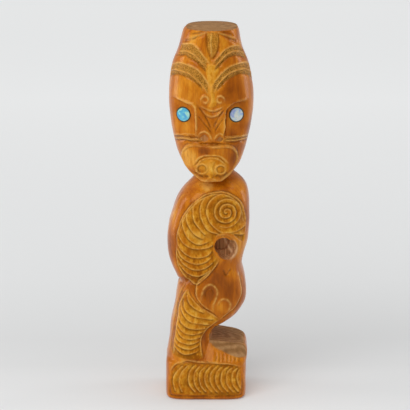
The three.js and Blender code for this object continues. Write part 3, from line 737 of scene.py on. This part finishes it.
# Base: a panel of "(" ribs under a carved edge, with arcs at its left end.
base_front = inside(work.front, [(-30.5, 5), (-31, 16), (-29, 25), (-22, 30.5), (-10, 31), (8, 30), (24, 27.5), (25.5, 15), (24, 4.5), (0, 3.6)])
base_mask = step(base_front, 0, 1.0)
ribs = []
for i in range(10):
    x = -13 + 4.35 * i
    top = 28.2 - 0.25 * i
    ribs.append([(x + 1.6, 7), (x - 2.2, 12), (x - 3.6, 17.5), (x - 2.6, 23.4), (x + 0.8, top)])
ribs.append([(-22, 7), (-24, 14), (-22.6, 22), (-17, 28.4)])
ribs.append([(-27.4, 8), (-29, 15), (-27, 22), (-21.6, 28)])
work.ribs(ribs, 1, base_mask, 0.9, 4.4, pale=0.8)
work.mark("carved", base_mask * front_only)
work.edge([(-31, 20.5), (-31, 24.5), (-27.5, 29.5), (-22, 31.5), (-17.5, 32.5), (-11.5, 31.8), (-3.5, 31.3), (7.5, 30.6), (17.5, 29.6), (25, 27.5)], -1, 0.8, 1.4)
work.groove([(-31.4, 16), (-31.5, 6.5), (-29.5, 3.6), (-15, 3.2), (5, 3.2), (23.5, 3.6), (26.4, 6), (26.4, 20)], 0.9, 0.6)

# Fluted paring under the step.
for i in range(7):
    x = 5 + 3.1 * i
    work.groove([(x, 38 - 0.45 * i), (x + 0.5, 34.5 - 0.2 * i), (x + 0.2, 31.5)], 0.9, 0.5, painted_shade=0.5)

# Saw cuts are bare wood: the crown, the top of the step and its front bevel.
x, y, z = work.co.T
nz = work.normal[:, 2]
bevel = step(z - (48.6 - 0.52 * x), -1.2, 0.6) * step(x, -1, 2) * (z > 30) * (z < 52) * step(-y, -30, -10)
top_step = step(nz, 0.6, 0.9) * (z > 30) * (z < 52) * (x > -2)
work.mark("bare", np.maximum(top_step, (z > HEIGHT - 0.05) * 1.0))
step_front = step(z - np.interp(x, [1, 4, 10, 16, 22, 28], [45, 42, 39, 36.5, 34.5, 34]), -0.4, 0.8)
work.mark("bare", step_front * (x > 0) * (z < 52) * (z > 30) * work.facing)

# Where the stain took more (below 0) or less (above 0), in soft patches: across, height, half sizes, amount. The
# strongest lightening, on the chest at (-2, 175), is a painted highlight.
for px, pz, rx, rz, amount in (
    (17, 275, 9, 18, -0.9), (19, 254, 8, 8, -1.2), (28, 240, 5, 14, -0.8), (22, 222, 9, 7, -0.5), (-20, 270, 9, 9, -0.3),
    (1, 262, 6, 14, 1.4), (1, 246, 4, 7, 1.2), (-25, 255, 5, 12, 0.9), (-14, 292, 6, 5, 1.0), (14, 291, 6, 5, 0.7),
    (-22, 224, 7, 8, 0.8), (-15, 202, 7, 7, 1.8), (-3, 206, 6, 3, -1.6), (15, 200, 6, 8, -0.8), (1, 192, 9, 6, 1.2),
    (-2, 175, 6, 4, 2.2), (-20, 160, 6, 10, -0.6), (-29, 145, 4, 12, 0.8), (-30, 128, 4, 16, -0.9), (-9, 136, 9, 7, 1.6),
    (-14, 148, 7, 9, 0.4), (25, 127, 5, 10, 1.2), (17, 104, 5, 7, 1.4), (-14, 104, 10, 8, -0.8), (6, 100, 10, 8, -1.0),
    (18, 90, 7, 12, -1.1), (0, 90, 6, 8, -0.8), (8, 78, 6, 5, 1.4), (-8, 70, 12, 8, 0.9), (-18, 52, 8, 16, 0.6),
    (-3, 48, 4, 10, -1.4), (-12, 35, 8, 3, -1.6), (14, 33, 12, 3, 0.6), (-24, 16, 6, 8, 0.4), (8, 16, 18, 8, 0.1),
):
    work.marks["tone"] += amount * np.exp(-((x - px) / rx) ** 2 - ((z - pz) / rz) ** 2) * (y < 6)

# A painted highlight on the chest, where its sloping top catches the light.
chest_highlight = inside(work.front, [(-6, 176.6), (-1, 178.6), (3, 176.6), (2, 172.6), (-3, 171.4)])
work.mark("pale", 0.75 * step(chest_highlight, -0.3, 1.0) * front_only)

# Painted shadow round each shell disc, where the socket gap falls into shade.
for eye in EYES.values():
    place, behind = eye_frame(eye, co)
    ring = np.hypot(*place.T)
    work.mark("painted_shade", 1.3 * np.exp(-((ring - EYE_DIAMETER / 2) / 0.75) ** 2) * (np.abs(behind) < 4))

# Tool work all over: the skin is never quite even.
work.rise += 0.10 * np.sin(x * 0.31 + z * 0.11) * np.sin(z * 0.23 + y * 0.2 + 1.0) * (z < 299) * (z > 1)

level = (1 - step(np.abs(nz), 0.9, 0.99)) * (z < HEIGHT - 0.05) * (z > 0.05)
co = co + normal * (work.rise * level)[:, None]
low, high = np.array(cad_low) / MM, np.array(cad_high) / MM
co = np.clip(co, low + 0.002, high - 0.002)
move_to(figure, co * MM)
for name, amount in work.marks.items():
    attribute = figure.data.attributes.new(name, "FLOAT", "POINT")
    attribute.data.foreach_set("value", amount.astype(np.float32))

# Sockets for the shell discs
def disc(name, eye, radius, front_mm, back_mm, sides=64):
    """A round slab on an eye's flat, from in front of the flat to behind it."""
    bpy.ops.object.select_all(action="DESELECT")
    middle = (back_mm - front_mm) / 2
    bpy.ops.mesh.primitive_cylinder_add(
        vertices=sides,
        radius=radius * MM,
        depth=(front_mm + back_mm) * MM,
        location=(
            (eye["x"] - math.sin(eye["turn"]) * middle) * MM,
            (eye["y"] + math.cos(eye["turn"]) * middle) * MM,
            eye["z"] * MM,
        ),
        rotation=(math.pi / 2, 0, eye["turn"]),
    )
    made = bpy.context.object
    made.name = name
    return made


for side, eye in EYES.items():
    tool = disc("socket", eye, EYE_DIAMETER / 2 + INLAY_GAP, 4, EYE_THICKNESS + INLAY_GAP)
    apply(figure, "BOOLEAN", operation="DIFFERENCE", object=tool, solver="MANIFOLD")
    bpy.data.objects.remove(tool)

triangles = sum(len(p.vertices) - 2 for p in figure.data.polygons)
apply(figure, "DECIMATE", decimate_type="COLLAPSE", ratio=min(1.0, TRIANGLES / triangles), use_collapse_triangulate=True)
bpy.ops.object.select_all(action="DESELECT")
figure.select_set(True)
bpy.context.view_layer.objects.active = figure
bpy.ops.object.shade_smooth_by_angle(angle=math.radians(55))

shells = {}
for side, eye in EYES.items():
    piece = disc("shell_disc_" + side, eye, EYE_DIAMETER / 2 - 0.02, 0.09, EYE_THICKNESS - 0.02)
    apply(piece, "BEVEL", width=0.25 * MM, segments=3, limit_method="ANGLE")
    bpy.context.view_layer.update()
    piece.data.transform(piece.matrix_world)
    piece.matrix_world.identity()
    bpy.ops.object.shade_smooth_by_angle(angle=math.radians(40))
    shells[side] = piece


# Materials

class Nodes:
    """Short ways to add nodes to a tree."""

    def __init__(self, tree):
        self.tree = tree

    def add(self, kind, **settings):
        node = self.tree.nodes.new(kind)
        for name, value in settings.items():
            if hasattr(node, name):
                setattr(node, name, value)
        return node

    def join(self, source, target):
        self.tree.links.new(source, target)

    def feed(self, socket, value):
        if isinstance(value, bpy.types.NodeSocket):
            self.join(value, socket)
        elif value is not None:
            socket.default_value = value

    def math(self, operation, a, b=None, c=None, clamp=False):
        node = self.add("ShaderNodeMath", operation=operation, use_clamp=clamp)
        for socket, value in zip(node.inputs, (a, b, c)):
            self.feed(socket, value)
        return node.outputs[0]

    def mix(self, factor, a, b, blend="MIX"):
        node = self.add("ShaderNodeMix", data_type="RGBA", blend_type=blend)
        self.feed(node.inputs[0], factor)
        self.feed(node.inputs[6], a)
        self.feed(node.inputs[7], b)
        return node.outputs[2]

    def noise(self, vector, scale, detail=4.0, rough=0.55, distortion=0.0):
        node = self.add("ShaderNodeTexNoise")
        self.feed(node.inputs["Vector"], vector)
        node.inputs["Scale"].default_value = scale
        node.inputs["Detail"].default_value = detail
        node.inputs["Roughness"].default_value = rough
        node.inputs["Distortion"].default_value = distortion
        return node.outputs["Fac"]

    def stretch(self, vector, scale):
        node = self.add("ShaderNodeMapping")
        self.feed(node.inputs["Vector"], vector)
        node.inputs["Scale"].default_value = scale
        return node.outputs[0]

    def ramp(self, value, stops):
        node = self.add("ShaderNodeValToRGB")
        elements = node.color_ramp.elements
        while len(elements) < len(stops):
            elements.new(0.5)
        for element, (at, colour) in zip(elements, stops):
            element.position = at
            element.color = (*colour, 1) if len(colour) == 3 else colour
        self.feed(node.inputs[0], value)
        return node.outputs[0]

    def span(self, value, low, high, to_low=0.0, to_high=1.0):
        node = self.add("ShaderNodeMapRange", interpolation_type="SMOOTHSTEP")
        self.feed(node.inputs["Value"], value)
        node.inputs["From Min"].default_value = low
        node.inputs["From Max"].default_value = high
        node.inputs["To Min"].default_value = to_low
        node.inputs["To Max"].default_value = to_high
        return node.outputs["Result"]

    def attribute(self, name):
        return self.add("ShaderNodeAttribute", attribute_name=name).outputs["Fac"]


def material(name):
    made = bpy.data.materials.new(name)
    made.use_nodes = True
    return made, Nodes(made.node_tree), made.node_tree.nodes["Principled BSDF"]


def varnished_wood():
    made, n, shader = material("varnished carved wood")
    place = n.add("ShaderNodeTexCoord").outputs["Object"]
    marks = {name: n.attribute(name) for name in work.marks}
    # Stain: honey to red-brown, in upright drifts with finer grain.
    drift = n.noise(n.stretch(place, (1, 1, 0.5)), 70, 4, 0.6, 0.8)
    streak = n.noise(n.stretch(place, (1, 1, 0.07)), 480, 4, 0.65)
    fine = n.noise(n.stretch(place, (1, 1, 0.10)), 1600, 2, 0.6)
    tone = n.math("ADD", drift, n.math("MULTIPLY", marks["tone"], 0.16))
    stain = n.ramp(tone, [
        (0.26, (0.250, 0.055, 0.002)),
        (0.40, (0.420, 0.105, 0.003)),
        (0.54, (0.580, 0.175, 0.006)),
        (0.66, (0.680, 0.250, 0.014)),
        (0.80, (0.800, 0.370, 0.050)),
    ])
    stain = n.mix(n.math("MULTIPLY", n.span(streak, 0.42, 0.72), 0.55), stain, (0.40, 0.090, 0.002, 1))
    stain = n.mix(n.math("MULTIPLY", n.span(fine, 0.48, 0.72), 0.25), stain, (0.22, 0.050, 0.002, 1))
    # Carved places took less stain and are matter and more yellow, with old stain left in them.
    speckle = n.noise(n.stretch(place, (1, 1, 0.6)), 330, 5, 0.68)
    pared = n.ramp(n.math("ADD", speckle, n.math("MULTIPLY", marks["tone"], 0.10)), [
        (0.34, (0.300, 0.080, 0.002)),
        (0.46, (0.530, 0.180, 0.006)),
        (0.57, (0.700, 0.300, 0.020)),
        (0.72, (0.820, 0.450, 0.070)),
    ])
    patchy = n.span(n.noise(place, 150, 4, 0.6), 0.35, 0.60, 0.35, 1.0)
    colour = n.mix(n.math("MULTIPLY", marks["carved"], patchy), stain, pared)
    stipple = n.noise(place, 1300, 2, 0.5)
    # Painted shade, darker towards the bottom of each rib's valley.
    painted_valley_shade = n.math("MULTIPLY", marks["deep"], n.span(n.noise(place, 90, 3, 0.6), 0.35, 0.65, 0.15, 0.75))
    colour = n.mix(painted_valley_shade, colour, (0.250, 0.085, 0.004, 1))
    olive = n.mix(n.span(stipple, 0.42, 0.58), (0.20, 0.090, 0.010, 1), (0.56, 0.26, 0.045, 1))
    colour = n.mix(n.math("MULTIPLY", marks["hatch"], 0.85), colour, olive)
    # Painted shade in grooves and painted highlights on ridges, unevenly strong.
    painted_light_breakup = n.span(n.noise(place, 300, 3, 0.6), 0.35, 0.6, 0.35, 1.0)
    colour = n.mix(n.math("MULTIPLY", n.math("MULTIPLY", marks["painted_shade"], painted_light_breakup), 0.85), colour, (0.130, 0.036, 0.001, 1))
    colour = n.mix(n.math("MULTIPLY", n.math("MULTIPLY", marks["pale"], painted_light_breakup), 0.70), colour, (0.80, 0.46, 0.11, 1))
    # Bare wood of the saw cuts, with growth rings, and the unvarnished hollow.
    rings = n.add("ShaderNodeTexWave", wave_type="RINGS", rings_direction="Z")
    n.join(n.stretch(place, (1.0, 2.2, 1.0)), rings.inputs["Vector"])
    rings.inputs["Scale"].default_value = 38
    rings.inputs["Distortion"].default_value = 5
    rings.inputs["Detail"].default_value = 3
    rings.inputs["Detail Scale"].default_value = 1.5
    sawn = n.ramp(rings.outputs["Fac"], [
        (0.1, (0.27, 0.135, 0.050)),
        (0.6, (0.36, 0.190, 0.075)),
        (0.95, (0.43, 0.240, 0.105)),
    ])
    sawn = n.mix(n.math("MULTIPLY", n.span(speckle, 0.35, 0.7), 0.5), sawn, (0.15, 0.070, 0.028, 1))
    colour = n.mix(marks["bare"], colour, sawn)
    inner = n.ramp(streak, [(0.35, (0.28, 0.125, 0.05)), (0.5, (0.52, 0.26, 0.115)), (0.65, (0.68, 0.38, 0.18))])
    # A painted highlight on the rounded edge between the scoops inside the hollow.
    inner = n.mix(marks["pale"], inner, (0.90, 0.60, 0.34, 1))
    colour = n.mix(n.math("MULTIPLY", marks["hollow"], 0.95), colour, inner)
    n.join(colour, shader.inputs["Base Color"])
    dry = n.math("MAXIMUM", marks["bare"], marks["hollow"])
    matte = n.math("MULTIPLY", marks["carved"], 0.35)
    coat = n.math("SUBTRACT", n.math("SUBTRACT", 0.22, matte), dry, clamp=True)
    n.join(coat, shader.inputs["Coat Weight"])
    shader.inputs["Coat Roughness"].default_value = 0.10
    shader.inputs["Coat IOR"].default_value = 1.45
    shader.inputs["Specular IOR Level"].default_value = 0.40
    shader.inputs["Specular Tint"].default_value = (1.0, 0.50, 0.12, 1)
    rough = n.math("ADD", n.span(streak, 0.3, 0.7, 0.26, 0.40), n.math("MULTIPLY", n.math("MAXIMUM", matte, dry), 0.35))
    n.join(rough, shader.inputs["Roughness"])
    bump = n.add("ShaderNodeBump")
    bump.inputs["Strength"].default_value = 0.5
    bump.inputs["Distance"].default_value = 0.0004
    texture = n.math("MULTIPLY", stipple, n.math("ADD", n.math("MULTIPLY", marks["hatch"], 0.9), 0.15))
    tooled = n.math("MULTIPLY", speckle, n.math("MULTIPLY", marks["carved"], 0.9))
    height = n.math("ADD", n.math("ADD", n.math("MULTIPLY", streak, 0.35), texture), tooled)
    n.join(height, bump.inputs["Height"])
    n.join(bump.outputs[0], shader.inputs["Normal"])
    return made


def inlaid_shell(name, eye, deep, middle, light, seed):
    made, n, shader = material(name)
    place = n.add("ShaderNodeTexCoord").outputs["Object"]
    shifted = n.add("ShaderNodeVectorMath", operation="ADD")
    n.join(place, shifted.inputs[0])
    shifted.inputs[1].default_value = (seed, 0, seed)
    clouds = n.noise(shifted.outputs[0], 190, 3, 0.5, 1.2)
    colour = n.ramp(clouds, [(0.30, deep), (0.48, middle), (0.64, light), (0.8, (0.72, 0.80, 0.74))])
    flecks = n.noise(shifted.outputs[0], 700, 2, 0.5)
    colour = n.mix(n.math("MULTIPLY", n.span(flecks, 0.60, 0.72), 0.5), colour, (0.20, 0.42, 0.38, 1))
    from_middle = n.add("ShaderNodeVectorMath", operation="DISTANCE")
    n.join(place, from_middle.inputs[0])
    from_middle.inputs[1].default_value = (eye["x"] * MM, eye["y"] * MM, eye["z"] * MM)
    # Painted shadow round the edge of the disc.
    rim = n.span(from_middle.outputs["Value"], 4.9 * MM, 5.5 * MM)
    colour = n.mix(rim, colour, (0.035, 0.040, 0.018, 1))
    n.join(colour, shader.inputs["Base Color"])
    shader.inputs["Roughness"].default_value = 0.18
    shader.inputs["Coat Weight"].default_value = 0.5
    shader.inputs["Coat Roughness"].default_value = 0.05
    return made


wood = varnished_wood()
figure.data.materials.clear()
figure.data.materials.append(wood)
shell_left = inlaid_shell(
    "blue-green shell", EYES["left"], (0.06, 0.30, 0.62), (0.10, 0.50, 0.68), (0.36, 0.74, 0.62), 0.013
)
shell_right = inlaid_shell(
    "pale lilac shell", EYES["right"], (0.30, 0.36, 0.70), (0.46, 0.62, 0.68), (0.66, 0.68, 0.64), 0.047
)
for side, look in (("left", shell_left), ("right", shell_right)):
    shells[side].data.materials.clear()
    shells[side].data.materials.append(look)

for name, piece in (("carved_wooden_figure", figure), ("shell_eye_left", shells["left"]), ("shell_eye_right", shells["right"])):
    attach(piece, "root")
    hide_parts(name)

# Studio: a pale floor that runs on past the picture on every side, with painted light and shade that fade with distance
# behind the figure, a dim room and soft lamps
FLOOR_SIZE = 16
# How strongly the floor reflects and glows, by distance behind the figure: painted light and shade, so that its
# brightness falls off as the lit paper's does.
FLOOR_PAINTED_LIGHT = [
    (-0.02, 0.70, 0.11), (0.06, 0.67, 0.065), (0.13, 0.64, 0.09), (0.31, 0.68, 0.145), (0.56, 0.72, 0.205),
    (1.08, 0.74, 0.385), (1.70, 0.76, 0.465),
]

bpy.ops.object.select_all(action="DESELECT")
bpy.ops.mesh.primitive_plane_add(size=FLOOR_SIZE)
floor = bpy.context.object
floor.name = "studio_floor"
paper, n, shader = material("paper with painted light")
behind = n.add("ShaderNodeSeparateXYZ")
n.join(n.add("ShaderNodeTexCoord").outputs["Object"], behind.inputs[0])
nearest, furthest = FLOOR_PAINTED_LIGHT[0][0], FLOOR_PAINTED_LIGHT[-1][0]
along = n.math("DIVIDE", n.math("SUBTRACT", behind.outputs["Y"], nearest), furthest - nearest)
# The floor's colour and glow are painted light, brighter or darker with distance behind the figure.
for which, socket in ((1, "Base Color"), (2, "Emission Color")):
    stops = [((shade[0] - nearest) / (furthest - nearest), shade[which]) for shade in FLOOR_PAINTED_LIGHT]
    n.join(n.ramp(along, [(at, (0.985 * v, 0.997 * v, v)) for at, v in stops]), shader.inputs[socket])
shader.inputs["Emission Strength"].default_value = 1
shader.inputs["Roughness"].default_value = 0.9
shader.inputs["Specular IOR Level"].default_value = 0.1
floor.data.materials.append(paper)

world = bpy.data.worlds.new("room")
bpy.context.scene.world = world
world.use_nodes = True
world.node_tree.nodes["Background"].inputs["Color"].default_value = (1, 1, 1, 1)
world.node_tree.nodes["Background"].inputs["Strength"].default_value = 0.32


def lamp(name, place, aim, size, power):
    light = bpy.data.lights.new(name, "AREA")
    light.shape = "RECTANGLE"
    light.size, light.size_y = size
    light.energy = power
    obj = bpy.data.objects.new(name, light)
    bpy.context.scene.collection.objects.link(obj)
    obj.location = place
    obj.rotation_euler = (Vector(aim) - Vector(place)).to_track_quat("-Z", "Y").to_euler()
    return obj


lamp("key softbox", (-0.55, -1.05, 1.15), (0, 0.1, 0.15), (1.3, 1.0), 13)
lamp("overhead softbox", (0.1, 0.15, 1.3), (0, 0.15, 0), (1.2, 0.8), 4)
lamp("left softbox", (-1.1, 0.1, 0.4), (0, 0, 0.16), (0.4, 0.9), 4)
lamp("right softbox", (1.1, 0.2, 0.4), (0, 0, 0.16), (0.4, 0.9), 4)

camera_data = bpy.data.cameras.new("camera")
camera_data.sensor_width = 36
camera_data.lens = 219.868
camera_data.clip_end = 20
camera = bpy.data.objects.new("camera", camera_data)
bpy.context.scene.collection.objects.link(camera)
camera.location = (-0.003422, -1.93185, 0.67235)
elevation = math.radians(15)
camera.rotation_euler = (math.pi / 2 - elevation, 0, 0)
bpy.context.scene.camera = camera
bpy.context.scene.view_settings.view_transform = "Standard"
